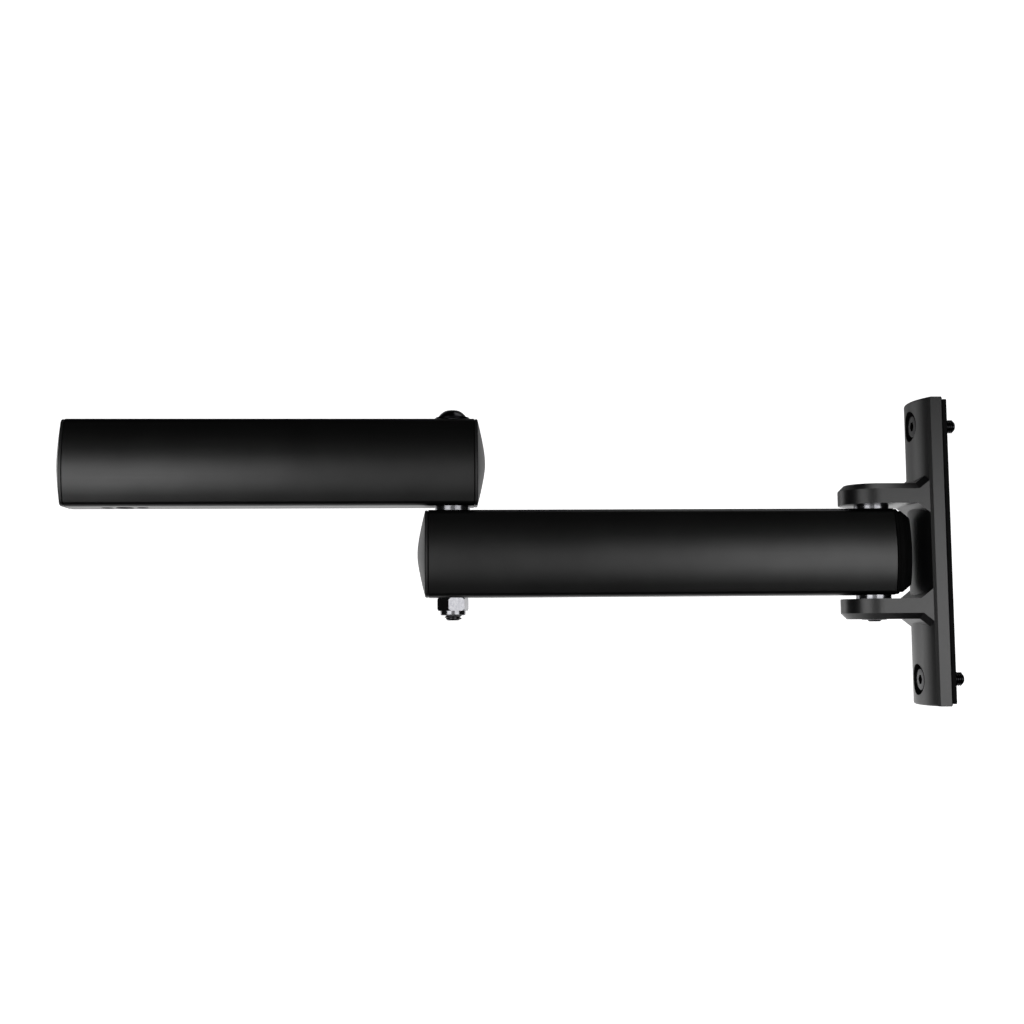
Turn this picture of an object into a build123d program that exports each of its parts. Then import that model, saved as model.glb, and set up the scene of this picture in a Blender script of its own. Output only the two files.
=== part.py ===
from build123d import *
import os
from math import sqrt

# Two-link folding swing arm on a cast wall bracket.
# Frame: the origin is the centre of the back plate's wall side, +X points into the wall, +Z is up and
# both hinge axes are vertical. The arms reach out along -X, the outer arm riding above the inner arm.

# ---------------------------------------------------------------- driving dimensions, millimetres
# Arm extrusion: flat top and bottom, bowed sides
tube_height = 50.0
tube_depth = 31.0
side_bow = 4.5
tube_wall = 3.0
tube_corner = 3.5
tube_end_break = 0.4

# Linkage
pivot_to_wall = 40.0
shoulder_to_elbow = 245.0
elbow_to_device = 186.5
shoulder_overhang = 10.0  # inner tube past the shoulder axis
inner_elbow_overhang = 14.0
outer_elbow_overhang = 12.6
device_overhang = 32.3  # outer tube past the device bore
arm_gap = 2.5  # between the inner and the outer arm
ear_gap = 2.3  # between the inner arm and each bracket ear

# Moulded end caps
cap_flange = 1.9
cap_crown = 4.4
cap_inset = 0.3
cap_edge_break = 0.4
# the crown's outline at each level: its share of the flange's size, and of the crown's rise
cap_crown_levels = [(0.97, 0.0), (0.78, 0.28), (0.52, 0.61), (0.26, 0.88), (0.06, 1.0)]
bumper_rise = 7.5  # the wall-side cap is a flat-faced bumper instead, bevelled all round
bumper_levels = [(0.95, 0.0), (0.95, 0.35), (0.8, 1.0)]
cap_leg_length = 13.0
cap_leg_thickness = 2.4

# Wall bracket
bracket_height = 177.2
bracket_width = 41.0
ear_width = 38.0
bracket_side = 8.6
bracket_crown = 4.1
bracket_edge_chamfer = 1.5  # down the plate's two front edges, beside the ears
bracket_end_round = 1.2
bracket_back_break = 0.7
ear_thickness = 11.7
ear_chamfer = 3.4
gusset_run = 7.0
gusset_rise = 5.5
back_plate_thickness = 3.0
back_plate_inset = 1.3
back_plate_break = 0.5

# Wall screws: low-head M8 x 20
screw_spacing = 148.0
screw_radius = 4.0
screw_length = 20.0
screw_head_radius = 6.5
screw_head_height = 5.0
screw_socket_flats = 5.0
screw_socket_depth = 2.8
screw_hole_radius = 4.5
screw_tip_relief = 0.2  # the bare thread past the plate is this much under the shank
screw_tip_chamfer = 1.0
screw_seat_thickness = 4.5  # bracket metal left under the screw washer
screw_pocket_radius = 9.0
screw_washer_radius = 8.0
screw_washer_thickness = 1.6

# M10 pivot bolts and nyloc nuts
pivot_radius = 5.0
pivot_head_radius = 8.75
pivot_head_height = 5.5
pivot_socket_flats = 6.0
pivot_socket_depth = 3.1
pivot_tip_chamfer = 1.0
nut_flats = 16.0
nut_height = 10.0
thin_nut_height = 8.0
nut_collar_height = 2.6
nut_collar_radius = 7.3
nut_ring_radius = 6.6
nut_ring_recess = 0.3
nut_chamfer = 1.1
elbow_nut_turn = 14.0  # degrees, where the tightened nut came to rest
elbow_tip_length = 2.9
shoulder_tip_length = 0.9
head_pocket_depth = 6.0
head_pocket_clearance = 0.5
nut_pocket_depth = 7.6
nut_pocket_clearance = 0.15

# Pivot sleeves, bushes and washers
sleeve_radius = 9.0
bush_wall = 1.5
bush_length = 14.0
washer_radius = 10.0
head_washer_thickness = 1.5

# Device end
device_bore_radius = 5.1
locator_radius = 3.4
locator_offset = 10.0
locator_depth = 16.0
device_block_length = 32.0

# Clearances
running_clearance = 0.05  # between a shaft and its bush, and between sliding washer faces
fit_clearance = 0.05  # between pieces fixed together
bolt_hole_clearance = 0.25
insert_clearance = 0.15  # between the tube's inside and what is pushed into it

# ---------------------------------------------------------------- derived places
shoulder_x = -pivot_to_wall
elbow_x = shoulder_x - shoulder_to_elbow
device_x = elbow_x - elbow_to_device
inner_top = tube_height / 2
outer_bottom = inner_top + arm_gap
outer_middle = outer_bottom + tube_height / 2
outer_top = outer_bottom + tube_height
inner_ends = (elbow_x - inner_elbow_overhang, shoulder_x + shoulder_overhang)
outer_ends = (device_x - device_overhang, elbow_x + outer_elbow_overhang)
ear_inner = inner_top + ear_gap
ear_outer = ear_inner + ear_thickness
bracket_back = -back_plate_thickness
bracket_edge = bracket_back - bracket_side
bolt_hole_radius = pivot_radius + bolt_hole_clearance
bush_bore_radius = pivot_radius + running_clearance
bush_radius = bush_bore_radius + bush_wall
screw_seat = bracket_back - screw_seat_thickness
screw_head_seat = screw_seat - screw_washer_thickness
screw_heights = (-screw_spacing / 2, screw_spacing / 2)


# ---------------------------------------------------------------- helpers
def upright(x, z_low, z_high, radius, y=0.0):
    """A vertical cylinder from z_low to z_high."""
    height = z_high - z_low
    return Pos(x, y, z_low + height / 2) * Cylinder(radius, height)


def along_x(z, x_low, x_high, radius):
    """A cylinder along X at the height z."""
    length = x_high - x_low
    return Pos(x_low + length / 2, 0, z) * Rot(0, 90, 0) * Cylinder(radius, length)


def ring(x, z_low, z_high, radius, bore):
    """A vertical tube, such as a washer, bush or sleeve."""
    return upright(x, z_low, z_high, radius) - upright(x, z_low, z_high, bore)


def hexagon(flats, height):
    """A hexagonal prism standing on the XY plane, measured across its flats."""
    return extrude(RegularPolygon(flats / 2, 6, major_radius=False), height)


def arm_section(inset, corner):
    """The extrusion's outline, moved inwards by an even inset."""
    bow_radius = ((tube_height / 2) ** 2 + side_bow**2) / (2 * side_bow)
    top = tube_height / 2 - inset
    reach = tube_depth / 2 - inset
    flat = tube_depth / 2 - bow_radius + sqrt((bow_radius - inset) ** 2 - top**2)
    outline = [
        Line((-flat, top), (flat, top)),
        ThreePointArc((flat, top), (reach, 0), (flat, -top)),
        Line((flat, -top), (-flat, -top)),
        ThreePointArc((-flat, -top), (-reach, 0), (-flat, top)),
    ]
    face = make_face(outline)
    return fillet(face.vertices(), corner)


def arm_tube(ends, middle):
    """One length of the extrusion between two X positions, centred on the height middle."""
    start, end = ends
    outside = extrude(Plane.YZ * arm_section(0, tube_corner), end - start)
    rims = outside.faces().filter_by(Axis.X).edges()
    outside = chamfer(rims, tube_end_break)
    inside = extrude(Plane.YZ * arm_section(tube_wall, tube_corner / 2), end - start)
    return Pos(start, 0, middle) * (outside - inside)


def cap_crown_solid(outline, rise, shape, flat_sided):
    """The crown of a cap: the flange's outline, drawn in level by level."""
    levels = [
        Plane.YZ.offset(cap_flange + rise * height) * scale(outline, size) for size, height in shape
    ]
    return loft(levels, ruled=flat_sided)


def end_cap(end, direction, middle, bumper=False):
    """A cap on a tube end: flange, crown and two legs that grip the tube's sides.

    It is drawn pushed in from +X, and turned round for a tube's other end. The crown is softly
    pointed, or a bevelled bumper where the cap faces the wall.
    """
    outline = arm_section(cap_inset, tube_corner)
    flange = extrude(Plane.YZ * outline, cap_flange)
    flange = chamfer(flange.faces().filter_by(Axis.X).edges(), cap_edge_break)
    if bumper:
        crown = cap_crown_solid(outline, bumper_rise, bumper_levels, True)
    else:
        crown = cap_crown_solid(outline, cap_crown, cap_crown_levels, False)
    grip = arm_section(tube_wall + insert_clearance, tube_corner / 2)
    hollow = arm_section(tube_wall + insert_clearance + cap_leg_thickness, tube_corner / 2)
    legs = extrude(Plane.YZ * (grip - hollow), -cap_leg_length)
    sleeve_slot = Box(3 * cap_leg_length, 2 * (sleeve_radius + fit_clearance), 2 * tube_height)
    cap = flange + crown + (legs - sleeve_slot)
    turn = 0 if direction > 0 else 180
    return Pos(end, 0, middle) * Rot(0, 0, turn) * cap


def button_head(x, seat):
    """The domed M10 head with its hexagon socket, standing on the height seat."""
    ball_radius = (pivot_head_radius**2 + pivot_head_height**2) / (2 * pivot_head_height)
    ball = Pos(x, 0, seat + pivot_head_height - ball_radius) * Sphere(ball_radius)
    dome = ball & upright(x, seat, seat + pivot_head_height, pivot_head_radius)
    socket = Pos(x, 0, seat + pivot_head_height - pivot_socket_depth) * hexagon(
        pivot_socket_flats, pivot_head_height
    )
    return dome - socket


def pivot_bolt(x, seat, tip):
    """An M10 bolt that hangs from its head at the height seat down to the height tip."""
    shank = upright(x, tip, seat, pivot_radius)
    shank = chamfer(shank.edges().sort_by(Axis.Z)[0], pivot_tip_chamfer)
    return shank + button_head(x, seat)


def nyloc_nut(x, seat, height, turn):
    """A nut whose plain face touches the height seat from below, and the nylon ring in its collar."""
    bore = pivot_radius + fit_clearance
    hex_height = height - nut_collar_height
    corner_radius = nut_flats / sqrt(3)
    blank = upright(0, -hex_height, 0, corner_radius)
    blank = chamfer(blank.edges().filter_by(GeomType.CIRCLE), nut_chamfer, nut_chamfer * 0.55)
    body = blank & (Pos(0, 0, -hex_height) * hexagon(nut_flats, hex_height))
    collar = upright(0, -height, -hex_height, nut_collar_radius)
    collar = fillet(collar.edges().sort_by(Axis.Z)[0], (nut_collar_radius - nut_ring_radius) * 0.8)
    body = body + collar - upright(0, -2 * height, height, bore)
    body = body - upright(0, -height, -hex_height, nut_ring_radius)
    nylon = ring(0, nut_ring_recess - height, -hex_height, nut_ring_radius - fit_clearance, bore)
    place = Pos(x, 0, seat) * Rot(0, 0, turn)
    return place * body, place * nylon


def pivot_bushes(x, middle):
    """The pair of bushes in the two ends of a pivot sleeve."""
    half = tube_height / 2
    spans = [(middle - half, middle - half + bush_length), (middle + half - bush_length, middle + half)]
    return [ring(x, low, high, bush_radius, bush_bore_radius) for low, high in spans]


def pivot_sleeve(x, middle, bore):
    """The spacer that runs through a tube, flush with its top and bottom."""
    return ring(x, middle - tube_height / 2, middle + tube_height / 2, sleeve_radius, bore)


def sleeve_hole(x, middle):
    """The hole that a pivot sleeve needs in both of its tube's walls."""
    return upright(x, middle - tube_height, middle + tube_height, sleeve_radius + fit_clearance)


# ---------------------------------------------------------------- wall bracket
def bracket_ear():
    """The upper ear, flared where it meets the plate and bevelled along its outer edge."""
    half = ear_width / 2
    root = bracket_back - bracket_side / 2
    plan = make_face(
        [
            Line((root, -half), (shoulder_x, -half)),
            ThreePointArc((shoulder_x, -half), (shoulder_x - half, 0), (shoulder_x, half)),
            Line((shoulder_x, half), (root, half)),
            Line((root, half), (root, -half)),
        ]
    )
    nose = shoulder_x - half
    flare = bracket_edge - gusset_run
    side = Polyline(
        (nose, ear_inner),
        (flare, ear_inner),
        (bracket_edge, ear_inner - gusset_rise),
        (root, ear_inner - gusset_rise),
        (root, ear_outer + gusset_rise),
        (bracket_edge, ear_outer + gusset_rise),
        (flare, ear_outer),
        (nose, ear_outer),
        close=True,
    )
    ear = extrude(plan, 2 * ear_outer) & extrude(Plane.XZ * make_face(side), half, both=True)
    outer_edges = [
        edge
        for edge in ear.edges()
        if edge.center().Z > ear_outer - 0.1 and edge.bounding_box().size.X > 0.1
    ]
    return chamfer(outer_edges, ear_chamfer)


def bracket_plate():
    """The upright plate: flat back, crowned front, chamfered sides and rounded ends."""
    half = bracket_width / 2
    crown_half = half - bracket_edge_chamfer
    side_front = bracket_edge + bracket_edge_chamfer
    profile = make_face(
        [
            Line((bracket_back, -half), (side_front, -half)),
            Line((side_front, -half), (bracket_edge, -crown_half)),
            ThreePointArc(
                (bracket_edge, -crown_half), (bracket_edge - bracket_crown, 0), (bracket_edge, crown_half)
            ),
            Line((bracket_edge, crown_half), (side_front, half)),
            Line((side_front, half), (bracket_back, half)),
            Line((bracket_back, half), (bracket_back, -half)),
        ]
    )
    plate = extrude(profile, bracket_height / 2, both=True)
    front_arcs = plate.edges().filter_by(GeomType.CIRCLE)
    plate = fillet(front_arcs, bracket_end_round)
    return chamfer(plate.faces().sort_by(Axis.X)[-1].edges(), bracket_back_break)


def wall_bracket():
    """The cast bracket with its bolt bores, head and nut pockets and counterbored screw holes."""
    ear = bracket_ear()
    bracket = bracket_plate() + ear + mirror(ear, Plane.XY)
    bracket -= upright(shoulder_x, -2 * ear_outer, 2 * ear_outer, bolt_hole_radius)
    head_pocket_radius = pivot_head_radius + head_pocket_clearance
    bracket -= upright(shoulder_x, ear_outer - head_pocket_depth, 2 * ear_outer, head_pocket_radius)
    nut_pocket = hexagon(nut_flats + 2 * nut_pocket_clearance, ear_outer)
    bracket -= Pos(shoulder_x, 0, -ear_outer + nut_pocket_depth - ear_outer) * nut_pocket
    for z in screw_heights:
        bracket -= along_x(z, screw_seat - tube_depth, screw_seat, screw_pocket_radius)
        bracket -= along_x(z, screw_seat, 0, screw_hole_radius)
    return bracket


def back_plate():
    """The plate behind the bracket, with a tapped hole for each wall screw."""
    height = bracket_height - 2 * back_plate_inset
    width = bracket_width - 2 * back_plate_inset
    plate = Pos(-back_plate_thickness / 2, 0, 0) * Box(back_plate_thickness, width, height)
    plate = chamfer(plate.edges().filter_by(Axis.Y) + plate.edges().filter_by(Axis.Z), back_plate_break)
    for z in screw_heights:
        plate -= along_x(z, -2 * back_plate_thickness, back_plate_thickness, screw_radius + fit_clearance)
    return plate


def wall_screw(z):
    """A low-head screw that passes through the bracket and back plate and stands out behind."""
    tip = screw_head_seat + screw_length
    head = along_x(z, screw_head_seat - screw_head_height, screw_head_seat, screw_head_radius)
    head = chamfer(head.edges().sort_by(Axis.X)[0], screw_head_height / 8)
    socket = Pos(screw_head_seat - screw_head_height, 0, z) * Rot(0, 90, 0) * hexagon(
        screw_socket_flats, screw_socket_depth
    )
    shank = along_x(z, screw_head_seat, 0, screw_radius)
    threads = along_x(z, 0, tip, screw_radius - screw_tip_relief)
    threads = chamfer(threads.edges().sort_by(Axis.X)[-1], screw_tip_chamfer)
    return head - socket + shank + threads


def screw_washer(z):
    """The flat washer under a wall screw's head."""
    disc = along_x(z, screw_head_seat, screw_seat, screw_washer_radius)
    return disc - along_x(z, screw_head_seat, screw_seat, screw_radius + fit_clearance)


def shoulder_washer(side):
    """The friction washer between the inner arm and one ear; side is 1 above and -1 below."""
    low, high = sorted((side * (inner_top + running_clearance), side * ear_inner))
    return ring(shoulder_x, low, high, washer_radius, bolt_hole_radius)


# ---------------------------------------------------------------- arms
def inner_tube():
    """The inner arm's extrusion, drilled for its two pivot sleeves."""
    tube = arm_tube(inner_ends, 0)
    for x in (shoulder_x, elbow_x):
        tube -= sleeve_hole(x, 0)
    return tube


def locator_holes():
    """The pair of small holes either side of the device bore, open at the arm's underside."""
    top = outer_bottom + locator_depth
    places = (device_x - locator_offset, device_x + locator_offset)
    return [upright(x, outer_bottom - 1, top, locator_radius) for x in places]


def device_bore():
    """The bore through the outer arm's free end."""
    return upright(device_x, outer_bottom - 1, outer_top + 1, device_bore_radius)


def outer_tube():
    """The outer arm's extrusion, drilled for its elbow sleeve and for the device."""
    tube = arm_tube(outer_ends, outer_middle) - sleeve_hole(elbow_x, outer_middle)
    return tube - device_bore() - locator_holes()


def device_block():
    """The solid block inside the outer arm's free end that takes the device's load."""
    section = arm_section(tube_wall + insert_clearance, tube_corner / 2)
    block = extrude(Plane.YZ * section, device_block_length)
    block = Pos(device_x - device_block_length / 2, 0, outer_middle) * block
    return block - device_bore() - locator_holes()


# ---------------------------------------------------------------- assembly
shoulder_seat = ear_outer - head_pocket_depth
shoulder_nut_seat = -ear_outer + nut_pocket_depth
shoulder_nut, shoulder_nut_ring = nyloc_nut(shoulder_x, shoulder_nut_seat, thin_nut_height, 0)
shoulder_tip = shoulder_nut_seat - thin_nut_height - shoulder_tip_length
elbow_nut, elbow_nut_ring = nyloc_nut(elbow_x, -inner_top, nut_height, elbow_nut_turn)
elbow_tip = -inner_top - nut_height - elbow_tip_length
elbow_washer_top = outer_bottom - running_clearance
head_washer_seat = outer_top + running_clearance
elbow_head_seat = head_washer_seat + head_washer_thickness

nodes = {
    "wall_bracket": wall_bracket(),
    "back_plate": back_plate(),
    "wall_screws": [wall_screw(z) for z in screw_heights],
    "wall_screw_washers": [screw_washer(z) for z in screw_heights],
    "shoulder_bolt": pivot_bolt(shoulder_x, shoulder_seat, shoulder_tip),
    "shoulder_nut": shoulder_nut,
    "shoulder_nut_nylon_ring": shoulder_nut_ring,
    "shoulder_friction_washers": [shoulder_washer(side) for side in (-1, 1)],
    "inner_arm_tube": inner_tube(),
    "inner_arm_elbow_cap": end_cap(inner_ends[0], -1, 0),
    "inner_arm_wall_cap": end_cap(inner_ends[1], 1, 0, bumper=True),
    "shoulder_sleeve": pivot_sleeve(shoulder_x, 0, bush_radius + fit_clearance),
    "shoulder_bushes": pivot_bushes(shoulder_x, 0),
    "inner_elbow_sleeve": pivot_sleeve(elbow_x, 0, bolt_hole_radius),
    "elbow_bolt": pivot_bolt(elbow_x, elbow_head_seat, elbow_tip),
    "elbow_head_washer": ring(elbow_x, head_washer_seat, elbow_head_seat, washer_radius, bolt_hole_radius),
    "elbow_nut": elbow_nut,
    "elbow_nut_nylon_ring": elbow_nut_ring,
    "elbow_friction_washer": ring(elbow_x, inner_top, elbow_washer_top, washer_radius, bolt_hole_radius),
    "outer_arm_tube": outer_tube(),
    "outer_arm_elbow_cap": end_cap(outer_ends[1], 1, outer_middle),
    "outer_arm_end_cap": end_cap(outer_ends[0], -1, outer_middle),
    "outer_elbow_sleeve": pivot_sleeve(elbow_x, outer_middle, bush_radius + fit_clearance),
    "elbow_bushes": pivot_bushes(elbow_x, outer_middle),
    "device_block": device_block(),
}

os.makedirs("parts", exist_ok=True)
for name, shape in nodes.items():
    solids = shape if isinstance(shape, list) else [shape]
    bodies = [solid for piece in solids for solid in piece.solids()]
    export_step(Compound(children=bodies) if len(bodies) > 1 else bodies[0], f"parts/{name}.step")
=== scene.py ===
"""Looks of the folding two-link swing arm: finishes, threaded hardware and the studio round it."""

import math

import bmesh
import bpy
from mathutils import Matrix, Vector


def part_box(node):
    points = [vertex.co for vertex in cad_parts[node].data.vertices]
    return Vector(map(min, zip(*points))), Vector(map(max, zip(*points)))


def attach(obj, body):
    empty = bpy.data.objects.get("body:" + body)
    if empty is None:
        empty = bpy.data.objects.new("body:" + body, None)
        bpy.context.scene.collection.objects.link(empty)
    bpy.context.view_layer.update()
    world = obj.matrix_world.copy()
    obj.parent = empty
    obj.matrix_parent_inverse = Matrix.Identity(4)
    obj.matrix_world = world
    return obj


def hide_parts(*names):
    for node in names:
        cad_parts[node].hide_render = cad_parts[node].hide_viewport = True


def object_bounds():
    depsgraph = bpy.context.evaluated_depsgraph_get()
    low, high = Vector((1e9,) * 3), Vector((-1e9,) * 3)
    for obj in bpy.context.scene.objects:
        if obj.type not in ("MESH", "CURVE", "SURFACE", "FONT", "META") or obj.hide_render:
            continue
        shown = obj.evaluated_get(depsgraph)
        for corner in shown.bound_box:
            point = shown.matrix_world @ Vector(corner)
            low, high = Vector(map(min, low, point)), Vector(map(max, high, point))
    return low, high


bl_info = {
    "name": "Folding swing arm looks",
    "version": (1, 0, 0),
    "blender": (4, 5, 0),
    "location": "3D View > Sidebar > Swing Arm",
    "description": "Finishes, threaded hardware and studio for a two-link wall arm",
    "category": "Object",
}

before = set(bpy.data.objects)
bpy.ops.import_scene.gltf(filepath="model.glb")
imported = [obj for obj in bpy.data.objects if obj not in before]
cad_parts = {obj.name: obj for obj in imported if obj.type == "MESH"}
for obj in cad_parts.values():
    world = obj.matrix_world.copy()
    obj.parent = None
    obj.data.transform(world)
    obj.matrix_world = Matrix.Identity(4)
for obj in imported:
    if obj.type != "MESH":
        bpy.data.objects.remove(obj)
cad_low, cad_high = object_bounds()
MM = 0.001

# How finely the new pieces are made
ROUND_STEPS = 96  # facets round every turned piece
THREAD_STEPS = 32  # facets in one turn of a thread
ROUNDING_STEPS = 4  # facets along a rounded corner
DOME_STEPS = 14  # facets along a domed head's arc
COVE_STEPS = 24  # facets in the sweep's curve
SHARP_ANGLE = math.radians(32)  # edges sharper than this aren't smoothed over
MERGE_DISTANCE = 0.002 * MM  # points closer than this are one

# Shapes that follow the size of the fastener
SOCKET_RIM = 0.66  # radius where a socket's mouth begins, as a share of its flats
SOCKET_MOUTH = 1.05  # width of a socket's chamfered mouth, as a share of its flats
DRILL_POINT = 0.18  # depth of the drill point under a socket, as a share of its flats
# Corners of a thread's ridge, as shares of its depth and of its pitch, its root sunk into the core
RIDGE_OUTLINE = ((-0.35, 0.04), (0, 0.08), (1, 0.44), (1, 0.56), (0, 0.92), (-0.35, 0.96))

# How the patterns in the finishes are drawn
GRAIN_DETAIL = 3.0  # layers of ever finer noise in a grain
CLOUD_DETAIL = 2.0  # and in a cloud
TONE_STOPS = (0.3, 0.7)  # where in a cloud the dark and the light tone are reached
FIBRE_WIDTH = 3 * MM  # width of the paper's fibres
PAPER_ROUGHNESS = (0.85, 0.95)

SENSOR_WIDTH = 36.0  # of the camera, in millimetres
CLIP_START = 10 * MM  # nearest depth that the camera draws

# Where the wall screws lie in the frame
SCREW_LOW, SCREW_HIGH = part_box("wall_screws")
SCREW_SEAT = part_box("wall_screw_washers")[0].x


# ------------------------------------------------------------------------------------- small tools
def linear(code):
    """A linear RGBA colour from an sRGB hex code."""
    channels = [int(code[i : i + 2], 16) / 255 for i in (1, 3, 5)]
    return (*[c / 12.92 if c <= 0.04045 else ((c + 0.055) / 1.055) ** 2.4 for c in channels], 1.0)


def add_node(tree, kind, inputs=None, **settings):
    """Adds a node, gives it its settings, and sets or links its inputs."""
    node = tree.nodes.new(kind)
    for name, value in settings.items():
        setattr(node, name, value)
    for name, value in (inputs or {}).items():
        socket = node.inputs[name]
        if isinstance(value, bpy.types.NodeSocket):
            tree.links.new(value, socket)
        else:
            socket.default_value = value
    return node


def surface(name, dark, light, roughness, grain_mm, relief_mm, cloud_mm, stretch=(1, 1, 1), **constants):
    """A material whose tone follows a broad cloud, and whose sheen and relief follow a finer grain.

    The grain and cloud sizes are the widths of their features. A small stretch along an axis draws the
    grain out along it. Constant values go straight on the shader, with underscores for spaces.
    """
    material = bpy.data.materials.new(name)
    material.use_nodes = True
    tree = material.node_tree
    tree.nodes.clear()
    spot = add_node(tree, "ShaderNodeTexCoord").outputs["Object"]
    drawn = add_node(tree, "ShaderNodeMapping", {"Vector": spot, "Scale": stretch}).outputs["Vector"]
    grain_inputs = {"Vector": drawn, "Scale": 1 / (grain_mm * MM), "Detail": GRAIN_DETAIL}
    grain = add_node(tree, "ShaderNodeTexNoise", grain_inputs).outputs["Fac"]
    cloud_inputs = {"Vector": spot, "Scale": 1 / (cloud_mm * MM), "Detail": CLOUD_DETAIL}
    cloud = add_node(tree, "ShaderNodeTexNoise", cloud_inputs).outputs["Fac"]
    tone = add_node(tree, "ShaderNodeValToRGB", {"Fac": cloud})
    for stop, position, code in zip(tone.color_ramp.elements, TONE_STOPS, (dark, light)):
        stop.position = position
        stop.color = linear(code)
    sheen_inputs = {"Value": grain, "To Min": roughness[0], "To Max": roughness[1]}
    sheen = add_node(tree, "ShaderNodeMapRange", sheen_inputs).outputs["Result"]
    bump = add_node(tree, "ShaderNodeBump", {"Height": grain, "Distance": relief_mm * MM})
    inputs = {key.replace("_", " "): value for key, value in constants.items()}
    inputs |= {"Base Color": tone.outputs["Color"], "Roughness": sheen, "Normal": bump.outputs["Normal"]}
    shader = add_node(tree, "ShaderNodeBsdfPrincipled", inputs)
    add_node(tree, "ShaderNodeOutputMaterial", {"Surface": shader.outputs["BSDF"]})
    return material


def around(value, spread):
    """The range that lies evenly about a value."""
    return value - spread, value + spread


# --------------------------------------------------------------------------------------- finishes
def anodised_extrusion(settings):
    """Black anodised aluminium, extruded: a soft broad sheen with faint lengthwise die lines.

    Real die lines are under 0.1 mm apart. They are drawn coarser, at 0.9 mm, so that they show.
    """
    return surface(
        "anodised_aluminium_extruded",
        settings.tube_dark,
        settings.tube_light,
        roughness=around(settings.tube_roughness, spread=0.03),
        grain_mm=0.9,
        relief_mm=0.002,
        cloud_mm=28,
        stretch=(0.01, 1, 1),
        Metallic=1.0,
    )


def coated_casting(settings):
    """Die-cast aluminium under satin black powder coat: a fine orange peel that softens reflections."""
    return surface(
        "powder_coated_cast_aluminium",
        settings.casting_dark,
        settings.casting_light,
        roughness=around(settings.casting_roughness, spread=0.04),
        grain_mm=1.1,
        relief_mm=0.012,
        cloud_mm=16,
        IOR=1.5,
        Specular_IOR_Level=settings.casting_gloss,
    )


def moulded_cap(settings):
    """Injection-moulded black nylon with a spark-eroded texture, which scatters light evenly.

    The real texture is about 0.1 mm wide. It is drawn coarser, at 0.7 mm, so that it shows.
    """
    return surface(
        "injection_moulded_nylon",
        settings.cap_dark,
        settings.cap_light,
        roughness=around(settings.cap_roughness, spread=0.05),
        grain_mm=0.7,
        relief_mm=0.012,
        cloud_mm=9,
        IOR=1.53,
    )


def buffer_in_painted_shade(settings):
    """Near black on the end that faces the plate, reflecting almost nothing: painted shade standing for the
    dark gap between the arm's end and the plate.
    """
    return surface(
        "buffer_painted_shade_black",
        settings.buffer_shade_dark,
        settings.buffer_shade_light,
        roughness=around(settings.buffer_roughness, spread=0.06),
        grain_mm=0.8,
        relief_mm=0.015,
        cloud_mm=7,
        IOR=1.52,
        Specular_IOR_Level=0.06,
    )


def oxide_steel(settings):
    """Black oxide on forged and rolled steel: oily black with sharp highlights, a little uneven."""
    return surface(
        "black_oxide_forged_steel",
        settings.steel_dark,
        settings.steel_light,
        roughness=around(settings.steel_roughness, spread=0.05),
        grain_mm=0.9,
        relief_mm=0.004,
        cloud_mm=1.6,
        Metallic=1.0,
    )


def plated_steel(settings):
    """Zinc-nickel plating on a cold-formed nut: brighter and slicker than black oxide."""
    return surface(
        "zinc_nickel_plated_steel",
        settings.plating_dark,
        settings.plating_light,
        roughness=around(settings.steel_roughness, spread=0.04),
        grain_mm=0.8,
        relief_mm=0.003,
        cloud_mm=1.2,
        Metallic=1.0,
    )


def painted_plate(settings):
    """Sheet steel, sheared and dip-painted black: dull, with a slight drag down its length."""
    return surface(
        "dip_painted_sheet_steel",
        settings.plate_dark,
        settings.plate_light,
        roughness=around(settings.plate_roughness, spread=0.07),
        grain_mm=1.2,
        relief_mm=0.01,
        cloud_mm=12,
        stretch=(1, 1, 0.08),
        IOR=1.5,
        Specular_IOR_Level=0.08,
    )


def turned_nylon(settings):
    """Turned dark nylon for the lock rings: waxy, a little duller than the nut round it."""
    return surface(
        "turned_nylon",
        settings.nylon_dark,
        settings.nylon_light,
        roughness=(0.38, 0.5),
        grain_mm=0.8,
        relief_mm=0.01,
        cloud_mm=2,
        IOR=1.53,
    )


def acetal_bush(settings):
    """Turned grey acetal for the pivot bushes: slick and slightly waxy, with fine rings round the axis.

    Real turning rings are 0.1 mm apart. They are drawn coarser, at 0.3 mm, so that they show.
    """
    return surface(
        "turned_acetal",
        settings.bush_dark,
        settings.bush_light,
        roughness=(0.28, 0.38),
        grain_mm=0.9,
        relief_mm=0.008,
        cloud_mm=3,
        stretch=(0.15, 0.15, 3),
        IOR=1.48,
    )


def turned_aluminium(settings):
    """Bare turned aluminium for the pivot sleeves: bright, with feed marks round the axis.

    Real feed marks are 0.1 mm apart. They are drawn coarser, at 0.3 mm, so that they show.
    """
    return surface(
        "turned_aluminium",
        settings.sleeve_dark,
        settings.sleeve_light,
        roughness=(0.22, 0.36),
        grain_mm=0.9,
        relief_mm=0.01,
        cloud_mm=3,
        stretch=(0.1, 0.1, 3),
        Metallic=1.0,
    )


def milled_block(settings):
    """Black anodised aluminium, milled: faint cutter marks under a satin sheen."""
    return surface(
        "anodised_aluminium_milled",
        settings.block_dark,
        settings.block_light,
        roughness=(0.3, 0.42),
        grain_mm=0.9,
        relief_mm=0.01,
        cloud_mm=8,
        stretch=(0.3, 1, 1),
        Metallic=1.0,
    )


def dress(names, material):
    """Gives the named CAD nodes one material."""
    for name in names:
        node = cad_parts[name]
        node.data.materials.clear()
        node.data.materials.append(material)


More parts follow.
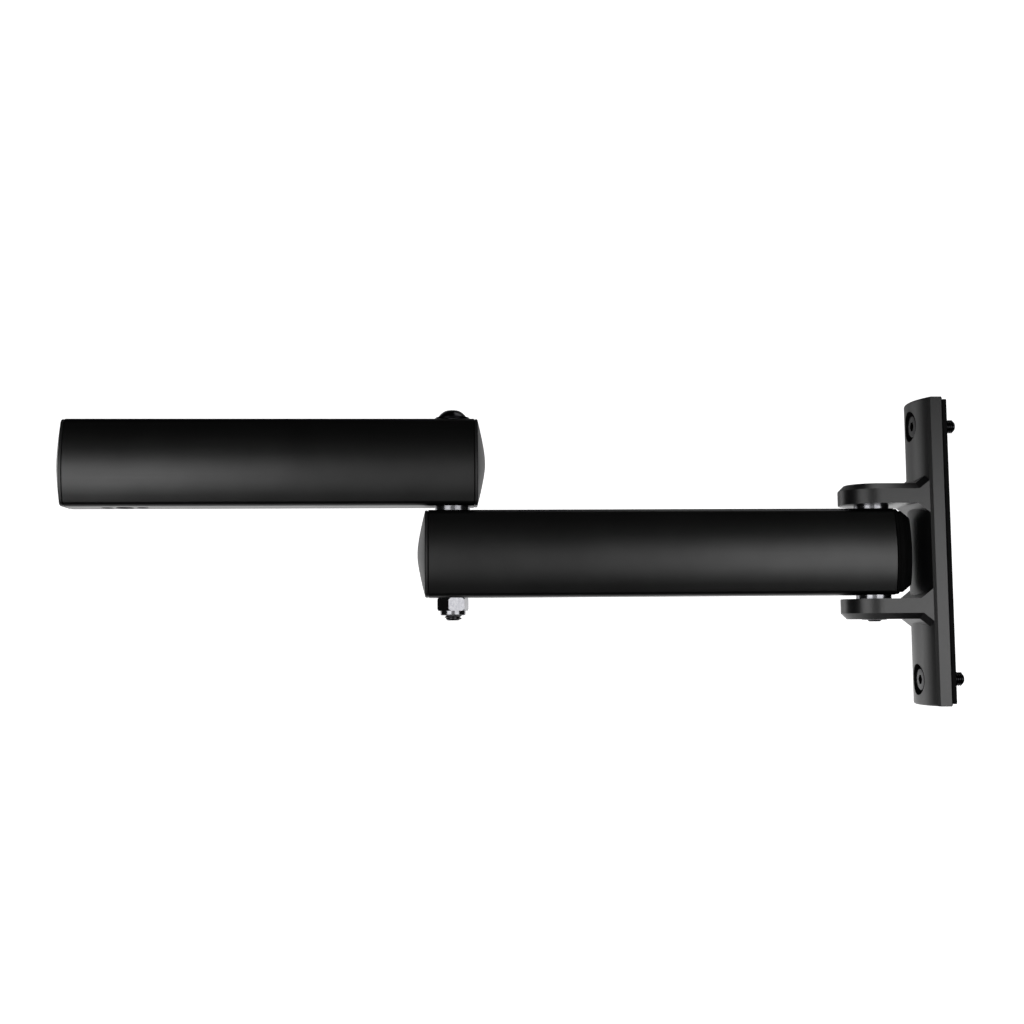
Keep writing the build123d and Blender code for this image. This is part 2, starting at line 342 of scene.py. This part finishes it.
# ------------------------------------------------------------------------------------ mesh helpers
def finish_piece(bm, name, material, body, slot, *replaced):
    """Turns a bmesh into a smooth-shaded piece that rides on a body and stands for CAD nodes."""
    bmesh.ops.remove_doubles(bm, verts=bm.verts, dist=MERGE_DISTANCE)
    bmesh.ops.recalc_face_normals(bm, faces=bm.faces)
    mesh = bpy.data.meshes.new(name)
    bm.to_mesh(mesh)
    bm.free()
    mesh.materials.append(material)
    mesh.shade_smooth()
    mesh.set_sharp_from_angle(angle=SHARP_ANGLE)
    piece = bpy.data.objects.new(name, mesh)
    bpy.context.scene.collection.objects.link(piece)
    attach(piece, body)
    if replaced:
        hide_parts(*replaced)


def lathe(bm, outline):
    """Spins an outline of (radius, height) points round the Z axis."""
    verts = [bm.verts.new((radius, 0, height)) for radius, height in outline]
    edges = [bm.edges.new(pair) for pair in zip(verts, verts[1:])]
    bmesh.ops.spin(
        bm,
        geom=verts + edges,
        cent=(0, 0, 0),
        axis=(0, 0, 1),
        angle=math.tau,
        steps=ROUND_STEPS,
        use_merge=True,
    )


def thread_ridge(bm, root, crest, low, high, pitch):
    """A helical ridge between two heights, as its own closed shell round the core."""
    turns = max(1, round((high - low) / pitch - 1))
    start = low + (high - low - (turns + 1) * pitch) / 2
    depth = crest - root
    corners = [(root + out * depth, 0, start + up * pitch) for out, up in RIDGE_OUTLINE]
    outline = bm.faces.new([bm.verts.new(corner) for corner in corners])
    bmesh.ops.spin(
        bm,
        geom=[outline],
        cent=(0, 0, 0),
        axis=(0, 0, 1),
        dvec=(0, 0, pitch / THREAD_STEPS),
        angle=math.tau * turns,
        steps=THREAD_STEPS * turns,
        use_merge=False,
    )


def arc_points(centre, radius, start, end, steps):
    """Points on an arc in the (radius, height) plane, angles in degrees."""
    angles = [math.radians(start + (end - start) * i / steps) for i in range(steps + 1)]
    return [(centre[0] + radius * math.cos(a), centre[1] + radius * math.sin(a)) for a in angles]


def hexagon_radius(flats, angle):
    """How far a hexagon's edge is from its centre in one direction."""
    turned = (angle + math.pi / 6) % (math.pi / 3) - math.pi / 6
    return flats / 2 / math.cos(turned)


def socket_head(bm, outline, flats, depth, mouth):
    """Spins a head's outline, and closes its top with a hexagon socket cut into it."""
    lathe(bm, outline)
    top = outline[-1][1]
    ring = [
        edge
        for edge in bm.edges
        if edge.is_boundary and all(abs(vert.co.z - top) < MERGE_DISTANCE for vert in edge.verts)
    ]
    # The chamfered mouth's outer edge, its inner edge, and the socket's floor
    for height, width in ((top, SOCKET_MOUTH), (top - mouth, 1.0), (top - depth, 1.0)):
        made = bmesh.ops.extrude_edge_only(bm, edges=ring)["geom"]
        for vert in (item for item in made if isinstance(item, bmesh.types.BMVert)):
            angle = math.atan2(vert.co.y, vert.co.x)
            reach = hexagon_radius(flats, angle) * width
            vert.co = (reach * math.cos(angle), reach * math.sin(angle), height)
        ring = [item for item in made if isinstance(item, bmesh.types.BMEdge)]
    made = bmesh.ops.extrude_edge_only(bm, edges=ring)["geom"]
    tip = [item for item in made if isinstance(item, bmesh.types.BMVert)]
    for vert in tip:
        vert.co = (0, 0, top - depth - DRILL_POINT * flats)
    bmesh.ops.remove_doubles(bm, verts=tip, dist=MERGE_DISTANCE)


# ------------------------------------------------------------------------------------ the hardware
def button_bolt(bm, low, high, settings):
    """An M10 button-head bolt from its thread's tip at low to its dome at high, on the Z axis."""
    radius = settings.pivot_thread / 2
    head_radius = settings.pivot_head / 2
    head_height = settings.pivot_head_height
    seat = high - head_height
    edge = settings.head_edge
    ball = (head_radius**2 + head_height**2) / (2 * head_height)
    start = math.degrees(math.asin((ball - head_height + edge) / ball))
    end = math.degrees(math.acos(settings.pivot_socket * SOCKET_RIM / ball))
    head = [(radius, seat), (head_radius - edge, seat)]
    head += arc_points((0, high - ball), ball, start, end, DOME_STEPS)
    socket_head(bm, head, settings.pivot_socket, settings.pivot_socket_depth, settings.socket_mouth)
    root = radius - settings.pivot_thread_depth
    point = settings.pivot_point
    thread_top = low + settings.pivot_thread_length
    shank = [
        (0, low),
        (root - point, low),
        (root, low + point),
        (root, thread_top),
        (radius, thread_top + settings.pivot_thread_depth),
        (radius, seat),
    ]
    lathe(bm, shank)
    thread_ridge(bm, root, radius, low + settings.thread_start, thread_top, settings.pivot_pitch)


def middle(low, high):
    """The value or point halfway between two."""
    return (low + high) / 2


def make_pivot_bolt(name, body, settings, material):
    """A pivot's bolt, where the frame has its plain one."""
    low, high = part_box(name)
    bm = bmesh.new()
    button_bolt(bm, low.z, high.z, settings)
    bmesh.ops.translate(bm, verts=bm.verts, vec=(middle(low, high).x, 0, 0))
    finish_piece(bm, name + "_threaded", material, body, "fasteners", name)


def make_wall_screws(settings, material):
    """The two low-head screws through the bracket, their threads standing out behind the plate.

    Each is made on the Z axis with its head up, and then laid down with its head towards -X.
    """
    radius = settings.screw_thread / 2
    head_radius = settings.screw_head / 2
    edge = settings.head_edge
    rounding = settings.head_round
    seat = -SCREW_SEAT
    top = seat + settings.screw_head_height
    tip = -SCREW_HIGH.x
    root = radius - settings.screw_thread_depth
    point = settings.screw_point
    thread_top = seat - settings.screw_neck
    head = [
        (radius, seat),
        (head_radius - edge, seat),
        (head_radius, seat + edge),
        *arc_points((head_radius - rounding, top - rounding), rounding, 0, 90, ROUNDING_STEPS),
        (settings.screw_socket * SOCKET_RIM, top),
    ]
    shank = [
        (0, tip),
        (root - point, tip),
        (root, tip + point),
        (root, thread_top),
        (radius, thread_top + settings.screw_thread_depth),
        (radius, seat),
    ]
    half_spacing = (SCREW_HIGH.z - SCREW_LOW.z) / 2 - head_radius
    # The frame has both screws in one node, and the upper one stands for it
    for name, z, replaced in (
        ("wall_screw_upper", half_spacing, ["wall_screws"]),
        ("wall_screw_lower", -half_spacing, []),
    ):
        bm = bmesh.new()
        socket_head(bm, head, settings.screw_socket, settings.screw_socket_depth, settings.socket_mouth)
        lathe(bm, shank)
        thread_ridge(bm, root, radius, tip + settings.thread_start, thread_top, settings.screw_pitch)
        lay_down = Matrix.Translation((0, 0, z)) @ Matrix.Rotation(-math.pi / 2, 4, "Y")
        bmesh.ops.transform(bm, matrix=lay_down, verts=bm.verts)
        finish_piece(bm, name, material, "bracket", "fasteners", *replaced)


# --------------------------------------------------------------------------------------- the studio
def sheet_edge(start, stage):
    """The edge across the sweep at the depth start, from which a sheet is drawn out."""
    bm = bmesh.new()
    half = stage.sweep_width / 2
    left = bm.verts.new((-half, start, stage.floor_height))
    right = bm.verts.new((half, start, stage.floor_height))
    edge = bm.edges.new((left, right))
    return bm, edge


def pull(bm, edge, move):
    """Draws an edge out into a new face, and returns the new edge."""
    made = bmesh.ops.extrude_edge_only(bm, edges=[edge])["geom"]
    verts = [item for item in made if isinstance(item, bmesh.types.BMVert)]
    bmesh.ops.translate(bm, verts=verts, vec=move)
    return next(item for item in made if isinstance(item, bmesh.types.BMEdge))


def stage_object(bm, name, material):
    """Makes a stage object of a bmesh."""
    bmesh.ops.recalc_face_normals(bm, faces=bm.faces)
    mesh = bpy.data.meshes.new(name)
    bm.to_mesh(mesh)
    bm.free()
    mesh.materials.append(material)
    mesh.shade_smooth()
    sheet = bpy.data.objects.new(name, mesh)
    bpy.context.scene.collection.objects.link(sheet)
    return sheet


def sweep_paper(stage):
    """Matt white rolled paper, bright enough to read as plain white behind the object.

    To the camera the paper is plain white. To the object it glows as painted light, strong low down and
    fading with height to painted shade, as a sweep lit from below would look.
    """
    material = bpy.data.materials.new("matt_white_rolled_paper")
    material.use_nodes = True
    tree = material.node_tree
    tree.nodes.clear()
    spot = add_node(tree, "ShaderNodeTexCoord").outputs["Object"]
    fibre_inputs = {"Vector": spot, "Scale": 1 / FIBRE_WIDTH}
    fibre = add_node(tree, "ShaderNodeTexNoise", fibre_inputs).outputs["Fac"]
    dull_inputs = {"Value": fibre, "To Min": PAPER_ROUGHNESS[0], "To Max": PAPER_ROUGHNESS[1]}
    dull = add_node(tree, "ShaderNodeMapRange", dull_inputs).outputs["Result"]
    height = add_node(tree, "ShaderNodeSeparateXYZ", {"Vector": spot}).outputs["Z"]
    # Painted light: the paper's glow on the object is strong below the light line and fades to painted shade
    # above it
    cast_inputs = {
        "Value": height,
        "From Min": stage.light_line - stage.light_fade,
        "From Max": stage.light_line + stage.light_fade,
        "To Min": stage.paper_light,
        "To Max": stage.paper_shade,
    }
    fade = add_node(tree, "ShaderNodeMapRange", cast_inputs, interpolation_type="SMOOTHSTEP")
    seen = add_node(tree, "ShaderNodeLightPath").outputs["Is Camera Ray"]
    glow_inputs = {"Value": seen, "To Min": fade.outputs["Result"], "To Max": stage.paper_glow}
    glow = add_node(tree, "ShaderNodeMapRange", glow_inputs).outputs["Result"]
    paper_inputs = {
        "Base Color": linear("#d8d8d8"),
        "Roughness": dull,
        "Emission Color": linear("#ffffff"),
        "Emission Strength": glow,
    }
    shader = add_node(tree, "ShaderNodeBsdfPrincipled", paper_inputs)
    add_node(tree, "ShaderNodeOutputMaterial", {"Surface": shader.outputs["BSDF"]})
    return material


def make_sweep(stage):
    """The pale floor, and behind the object the floor's curve up into a wall."""
    paper = sweep_paper(stage)
    bm, edge = sheet_edge(-stage.sweep_reach, stage)
    pull(bm, edge, (0, stage.sweep_reach + stage.floor_split, 0))
    front = stage_object(bm, "floor_front", paper)
    # The front of the floor is there for the camera only, and puts no light on the object
    front.visible_glossy = False
    front.visible_diffuse = False
    bm, edge = sheet_edge(stage.floor_split, stage)
    edge = pull(bm, edge, (0, stage.wall_distance - stage.cove_radius - stage.floor_split, 0))
    centre = (0, stage.wall_distance - stage.cove_radius, stage.floor_height + stage.cove_radius)
    spun = bmesh.ops.spin(
        bm,
        geom=[*edge.verts, edge],
        cent=centre,
        axis=(1, 0, 0),
        angle=math.pi / 2,
        steps=COVE_STEPS,
        use_merge=False,
    )
    last = next(item for item in spun["geom_last"] if isinstance(item, bmesh.types.BMEdge))
    pull(bm, last, (0, 0, stage.wall_height))
    stage_object(bm, "sweep_back", paper)


def softbox(name, place, aim, width, height, watts):
    """A rectangular softbox that the camera doesn't see."""
    light = bpy.data.lights.new(name, "AREA")
    light.shape = "RECTANGLE"
    light.size = width
    light.size_y = height
    light.energy = watts
    lamp = bpy.data.objects.new(name, light)
    bpy.context.scene.collection.objects.link(lamp)
    lamp.location = place
    lamp.rotation_mode = "QUATERNION"
    lamp.rotation_quaternion = (aim - Vector(place)).to_track_quat("-Z", "Y")
    lamp.visible_camera = False


def make_lights(stage):
    """Softboxes beside and behind the camera, two rim panels, a top light, and dim surroundings."""
    aim = middle(cad_low, cad_high)
    left_x, right_x = stage.left_box_x, stage.right_box_x
    gap = right_x - left_x - stage.box_width
    for name, x, width, power in (
        ("softbox_left", left_x, stage.box_width, stage.left_box_power),
        ("softbox_right", right_x, stage.box_width, stage.right_box_power),
        ("softbox_middle", middle(left_x, right_x), gap, stage.middle_box_power),
    ):
        softbox(name, (x, stage.box_y, stage.box_z), aim, width, stage.box_height, power)
    for name, x, power in (
        ("rim_panel_left", stage.left_rim_x, stage.left_rim_power),
        ("rim_panel_right", stage.right_rim_x, stage.right_rim_power),
    ):
        softbox(name, (x, stage.rim_y, 0), aim, stage.rim_width, stage.rim_height, power)
    softbox("top_light", stage.top_place, aim, stage.top_size, stage.top_size, stage.top_power)
    world = bpy.data.worlds.new("dim_studio")
    bpy.context.scene.world = world
    world.use_nodes = True
    tree = world.node_tree
    tree.nodes.clear()
    seen = add_node(tree, "ShaderNodeLightPath").outputs["Is Camera Ray"]
    white = linear("#ffffff")
    dim = add_node(tree, "ShaderNodeBackground", {"Color": white, "Strength": stage.surround})
    pale = add_node(tree, "ShaderNodeBackground", {"Color": white})
    mix = add_node(tree, "ShaderNodeMixShader", {0: seen, 1: dim.outputs[0], 2: pale.outputs[0]})
    add_node(tree, "ShaderNodeOutputWorld", {"Surface": mix.outputs[0]})


def make_camera(stage):
    """The camera, low in front of the arm and looking slightly up."""
    data = bpy.data.cameras.new("camera")
    data.lens = stage.lens
    data.sensor_width = SENSOR_WIDTH
    data.clip_start = CLIP_START
    camera = bpy.data.objects.new("camera", data)
    bpy.context.scene.collection.objects.link(camera)
    camera.matrix_world = (
        Matrix.Translation(stage.camera_place)
        @ Matrix.Rotation(stage.camera_heading, 4, "Z")
        @ Matrix.Rotation(math.pi / 2 + stage.camera_tilt, 4, "X")
        @ Matrix.Rotation(stage.camera_roll, 4, "Z")
    )
    bpy.context.scene.camera = camera


# ------------------------------------------------------------------------------------------ add-on
def length_property(name, description, default):
    """A length in metres."""
    return bpy.props.FloatProperty(
        name=name, description=description, default=default, subtype="DISTANCE", unit="LENGTH"
    )


def place_property(name, description, default):
    """A place in metres."""
    return bpy.props.FloatVectorProperty(
        name=name, description=description, default=default, subtype="TRANSLATION"
    )


def amount_property(name, description, default):
    """A plain number, such as a strength or a roughness."""
    return bpy.props.FloatProperty(name=name, description=description, default=default)


def power_property(name, description, default):
    """A light's power in watts."""
    return bpy.props.FloatProperty(name=name, description=description, default=default, unit="POWER")


def colour_property(name, description, default):
    """A colour as an sRGB hex code."""
    return bpy.props.StringProperty(name=name, description=description, default=default)


class SwingArmFinishes(bpy.types.PropertyGroup):
    """Colours and sheens."""

    tube_dark: colour_property("Tube, dark", "Darker tone of the anodising", "#383838")
    tube_light: colour_property("Tube, light", "Lighter tone of the anodising", "#3d3d3d")
    tube_roughness: amount_property("Tube roughness", "How far the tubes blur reflections", 0.34)
    casting_dark: colour_property("Bracket, dark", "Darker tone of the coating", "#0b0b0c")
    casting_light: colour_property("Bracket, light", "Lighter tone of the coating", "#101011")
    casting_gloss: amount_property("Bracket gloss", "Strength of the coating's reflection", 0.6)
    casting_roughness: amount_property("Bracket roughness", "How far the coating blurs reflections", 0.34)
    cap_dark: colour_property("Caps, dark", "Darker tone of the caps", "#121213")
    cap_light: colour_property("Caps, light", "Lighter tone of the caps", "#171718")
    cap_roughness: amount_property("Cap roughness", "How far the caps blur reflections", 0.38)
    # The buffer's near-black tones are painted shade for the dark gap between the arm's end and the plate
    buffer_shade_dark: colour_property("Buffer, dark", "Darker tone of the rubber", "#030303")
    buffer_shade_light: colour_property("Buffer, light", "Lighter tone of the rubber", "#060607")
    buffer_roughness: amount_property("Buffer roughness", "How far the rubber blurs reflections", 0.7)
    plate_dark: colour_property("Plate, dark", "Darker tone of the back plate's paint", "#040405")
    plate_light: colour_property("Plate, light", "Lighter tone of the back plate's paint", "#080809")
    plate_roughness: amount_property("Plate roughness", "How far the paint blurs reflections", 0.62)
    nylon_dark: colour_property("Nylon, dark", "Darker tone of the lock rings", "#2b2c30")
    nylon_light: colour_property("Nylon, light", "Lighter tone of the lock rings", "#3a3b40")
    bush_dark: colour_property("Bush, dark", "Darker tone of the bushes", "#6d6e70")
    bush_light: colour_property("Bush, light", "Lighter tone of the bushes", "#7a7b7e")
    sleeve_dark: colour_property("Sleeve, dark", "Darker tone of the turned aluminium", "#b9babd")
    sleeve_light: colour_property("Sleeve, light", "Lighter tone of the turned aluminium", "#c9cacc")
    block_dark: colour_property("Block, dark", "Darker tone of the device block", "#1b1c1e")
    block_light: colour_property("Block, light", "Lighter tone of the device block", "#26272a")
    steel_dark: colour_property("Steel, dark", "Darker tone of the black oxide", "#222224")
    steel_light: colour_property("Steel, light", "Lighter tone of the black oxide", "#2d2d2f")
    plating_dark: colour_property("Plating, dark", "Darker tone of the nuts' plating", "#76767a")
    plating_light: colour_property("Plating, light", "Lighter tone of the nuts' plating", "#868689")
    steel_roughness: amount_property("Steel roughness", "How far the fasteners blur reflections", 0.2)


class SwingArmHardware(bpy.types.PropertyGroup):
    """Sizes of the bolts and screws."""

    pivot_thread: length_property("Pivot thread", "Outside diameter of the pivot bolts", 10 * MM)
    pivot_pitch: length_property("Pivot pitch", "Thread pitch of the pivot bolts", 1.5 * MM)
    pivot_head: length_property("Pivot head", "Diameter of the domed heads", 17.5 * MM)
    pivot_head_height: length_property("Head height", "Height of the domed heads", 5.5 * MM)
    pivot_socket: length_property("Pivot socket", "Socket size across its flats", 6 * MM)
    pivot_socket_depth: length_property("Socket depth", "Depth of the domed heads' sockets", 3.1 * MM)
    pivot_thread_length: length_property("Thread length", "Threaded length of the pivot bolts", 26 * MM)
    pivot_thread_depth: length_property("Pivot thread depth", "Depth of the pivot bolts' threads", 0.85 * MM)
    pivot_point: length_property("Pivot point", "Chamfer on the pivot bolts' ends", 0.9 * MM)
    head_edge: length_property("Head edge", "Break under the edge of every head", 0.25 * MM)
    head_round: length_property("Head round", "Rounding on top of the wall screws' heads", 0.6 * MM)
    socket_mouth: length_property("Socket mouth", "Depth of the chamfer round every socket", 0.25 * MM)
    thread_start: length_property("Thread start", "Plain end below every thread", 0.3 * MM)
    screw_thread: length_property("Screw thread", "Outside diameter of the wall screws", 8 * MM)
    screw_thread_depth: length_property("Screw thread depth", "Depth of the wall screws' threads", 0.68 * MM)
    screw_point: length_property("Screw point", "Chamfer on the wall screws' ends", 0.7 * MM)
    screw_neck: length_property("Screw neck", "Plain neck under the wall screws' heads", 1.2 * MM)
    screw_pitch: length_property("Screw pitch", "Thread pitch of the wall screws", 1.25 * MM)
    screw_head: length_property("Screw head", "Diameter of the wall screws' heads", 13 * MM)
    screw_head_height: length_property("Screw head height", "Height of the wall screws' heads", 5 * MM)
    screw_socket: length_property("Screw socket", "Socket size across its flats", 5 * MM)
    screw_socket_depth: length_property("Screw socket depth", "Depth of the sockets", 2.8 * MM)


class SwingArmStage(bpy.types.PropertyGroup):
    """The camera, sweep and lights."""

    camera_place: place_property("Camera", "Where the camera stands", (-0.2891, -0.7658, -0.0423))
    camera_heading: bpy.props.FloatProperty(
        name="Heading", description="Turn about the vertical", default=math.radians(-2.87), subtype="ANGLE"
    )
    camera_tilt: bpy.props.FloatProperty(
        name="Tilt", description="Upward tilt", default=math.radians(4.97), subtype="ANGLE"
    )
    camera_roll: bpy.props.FloatProperty(
        name="Roll", description="Turn about the view", default=math.radians(-0.45), subtype="ANGLE"
    )
    lens: amount_property("Lens", "Focal length in millimetres", 46.8)
    floor_height: length_property("Floor height", "Height of the pale floor", -0.95)
    floor_split: length_property("Floor split", "Depth at which the rear sheet begins", 0.05)
    sweep_width: length_property("Sweep width", "Width of the paper sweep", 3.4)
    sweep_reach: length_property("Sweep reach", "How far the floor comes forward", 4.0)
    wall_distance: length_property("Wall distance", "Depth of the sweep's wall", 1.6)
    wall_height: length_property("Wall height", "Height of the sweep's wall above its curve", 3.0)
    cove_radius: length_property("Cove radius", "Radius of the curve from floor to wall", 0.6)
    paper_glow: amount_property("Paper glow", "How bright the paper looks", 1.0)
    paper_light: amount_property("Paper light", "Light that the low paper casts on the object", 0.8)
    paper_shade: amount_property("Paper shade", "Light that the high paper casts on the object", 0.12)
    light_line: length_property("Light line", "Height at which the paper's light fades", -0.02)
    light_fade: length_property("Light fade", "How far above and below that line it fades", 0.12)
    surround: amount_property("Surround", "Light from the dim studio", 0.012)
    left_box_x: length_property("Left softbox", "Sideways place of the left softbox", -0.85)
    right_box_x: length_property("Right softbox", "Sideways place of the right softbox", 0.32)
    box_y: length_property("Softbox depth", "Depth of both softboxes", -0.85)
    box_z: length_property("Softbox height", "Height of both softboxes' centres", -0.075)
    box_width: length_property("Softbox width", "Width of both softboxes", 0.71)
    box_height: length_property("Softbox size", "Height of both softboxes", 0.44)
    left_box_power: power_property("Left power", "Watts of the left softbox", 3.55)
    right_box_power: power_property("Right power", "Watts of the right softbox", 3.15)
    middle_box_power: power_property("Middle power", "Watts of the dim softbox between the two", 0.42)
    left_rim_x: length_property("Left rim panel", "Sideways place of the left rim panel", -1.4)
    right_rim_x: length_property("Right rim panel", "Sideways place of the right rim panel", 0.8)
    rim_y: length_property("Rim depth", "Depth of both rim panels", 1.4)
    rim_width: length_property("Rim width", "Width of both rim panels", 0.8)
    rim_height: length_property("Rim height", "Height of both rim panels", 1.0)
    left_rim_power: power_property("Left rim", "Watts of the left rim panel", 3.0)
    right_rim_power: power_property("Right rim", "Watts of the right rim panel", 2.0)
    top_place: place_property("Top light", "Where the top light hangs", (0.35, 0.1, 1.4))
    top_size: length_property("Top size", "Width and height of the top light", 0.8)
    top_power: power_property("Top power", "Watts of the top light", 3.0)


class SWINGARM_OT_tubes(bpy.types.Operator):
    """Finish the two arm tubes"""

    bl_idname = "swingarm.tubes"
    bl_label = "Arm tubes"

    def execute(self, context):
        dress(["inner_arm_tube", "outer_arm_tube"], anodised_extrusion(context.scene.swing_arm_finishes))
        return {"FINISHED"}


class SWINGARM_OT_caps(bpy.types.Operator):
    """Finish the moulded caps in the arms' ends"""

    bl_idname = "swingarm.caps"
    bl_label = "End caps"

    def execute(self, context):
        finishes = context.scene.swing_arm_finishes
        dress(["inner_arm_elbow_cap", "outer_arm_elbow_cap", "outer_arm_end_cap"], moulded_cap(finishes))
        # The wall-side cap is painted near black, as shade in the gap before the plate
        dress(["inner_arm_wall_cap"], buffer_in_painted_shade(finishes))
        return {"FINISHED"}


class SWINGARM_OT_bracket(bpy.types.Operator):
    """Finish the cast bracket and the plate behind it"""

    bl_idname = "swingarm.bracket"
    bl_label = "Wall bracket"

    def execute(self, context):
        finishes = context.scene.swing_arm_finishes
        dress(["wall_bracket"], coated_casting(finishes))
        dress(["back_plate"], painted_plate(finishes))
        return {"FINISHED"}


class SWINGARM_OT_screws(bpy.types.Operator):
    """Make the threaded bolts and screws, and finish the washers under their heads"""

    bl_idname = "swingarm.screws"
    bl_label = "Bolts and screws"

    def execute(self, context):
        sizes = context.scene.swing_arm_hardware
        steel = oxide_steel(context.scene.swing_arm_finishes)
        make_pivot_bolt("elbow_bolt", "inner_arm", sizes, steel)
        make_pivot_bolt("shoulder_bolt", "bracket", sizes, steel)
        make_wall_screws(sizes, steel)
        dress(["elbow_head_washer", "wall_screw_washers"], steel)
        return {"FINISHED"}


class SWINGARM_OT_nuts(bpy.types.Operator):
    """Finish the lock nuts, their nylon rings and the friction washers"""

    bl_idname = "swingarm.nuts"
    bl_label = "Nuts and friction washers"

    def execute(self, context):
        finishes = context.scene.swing_arm_finishes
        plated = ["elbow_nut", "shoulder_nut", "elbow_friction_washer", "shoulder_friction_washers"]
        dress(plated, plated_steel(finishes))
        dress(["elbow_nut_nylon_ring", "shoulder_nut_nylon_ring"], turned_nylon(finishes))
        return {"FINISHED"}


class SWINGARM_OT_inside(bpy.types.Operator):
    """Finish the sleeves, bushes and device block inside the arms"""

    bl_idname = "swingarm.inside"
    bl_label = "Inner pieces"

    def execute(self, context):
        finishes = context.scene.swing_arm_finishes
        dress(["shoulder_sleeve", "inner_elbow_sleeve", "outer_elbow_sleeve"], turned_aluminium(finishes))
        dress(["shoulder_bushes", "elbow_bushes"], acetal_bush(finishes))
        dress(["device_block"], milled_block(finishes))
        return {"FINISHED"}


class SWINGARM_OT_stage(bpy.types.Operator):
    """Set up the camera, the pale sweep and the lights"""

    bl_idname = "swingarm.stage"
    bl_label = "Stage"

    def execute(self, context):
        stage = context.scene.swing_arm_stage
        make_camera(stage)
        make_sweep(stage)
        make_lights(stage)
        context.scene.view_settings.view_transform = "Standard"
        return {"FINISHED"}


OPERATORS = (
    SWINGARM_OT_stage,
    SWINGARM_OT_tubes,
    SWINGARM_OT_caps,
    SWINGARM_OT_bracket,
    SWINGARM_OT_screws,
    SWINGARM_OT_nuts,
    SWINGARM_OT_inside,
)


class SWINGARM_PT_panel(bpy.types.Panel):
    """Lists the pieces"""

    bl_label = "Swing Arm"
    bl_idname = "SWINGARM_PT_panel"
    bl_space_type = "VIEW_3D"
    bl_region_type = "UI"
    bl_category = "Swing Arm"

    def draw(self, context):
        for operator in OPERATORS:
            self.layout.operator(operator.bl_idname)


GROUPS = {
    "swing_arm_finishes": SwingArmFinishes,
    "swing_arm_hardware": SwingArmHardware,
    "swing_arm_stage": SwingArmStage,
}
CLASSES = (*GROUPS.values(), *OPERATORS, SWINGARM_PT_panel)


def register():
    for cls in CLASSES:
        bpy.utils.register_class(cls)
    for name, group in GROUPS.items():
        setattr(bpy.types.Scene, name, bpy.props.PointerProperty(type=group))


def unregister():
    for name in GROUPS:
        delattr(bpy.types.Scene, name)
    for cls in reversed(CLASSES):
        bpy.utils.unregister_class(cls)


def build():
    """Registers the add-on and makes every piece."""
    register()
    bpy.ops.swingarm.stage()
    bpy.ops.swingarm.tubes()
    bpy.ops.swingarm.caps()
    bpy.ops.swingarm.bracket()
    bpy.ops.swingarm.screws()
    bpy.ops.swingarm.nuts()
    bpy.ops.swingarm.inside()


if __name__ == "__main__":
    build()
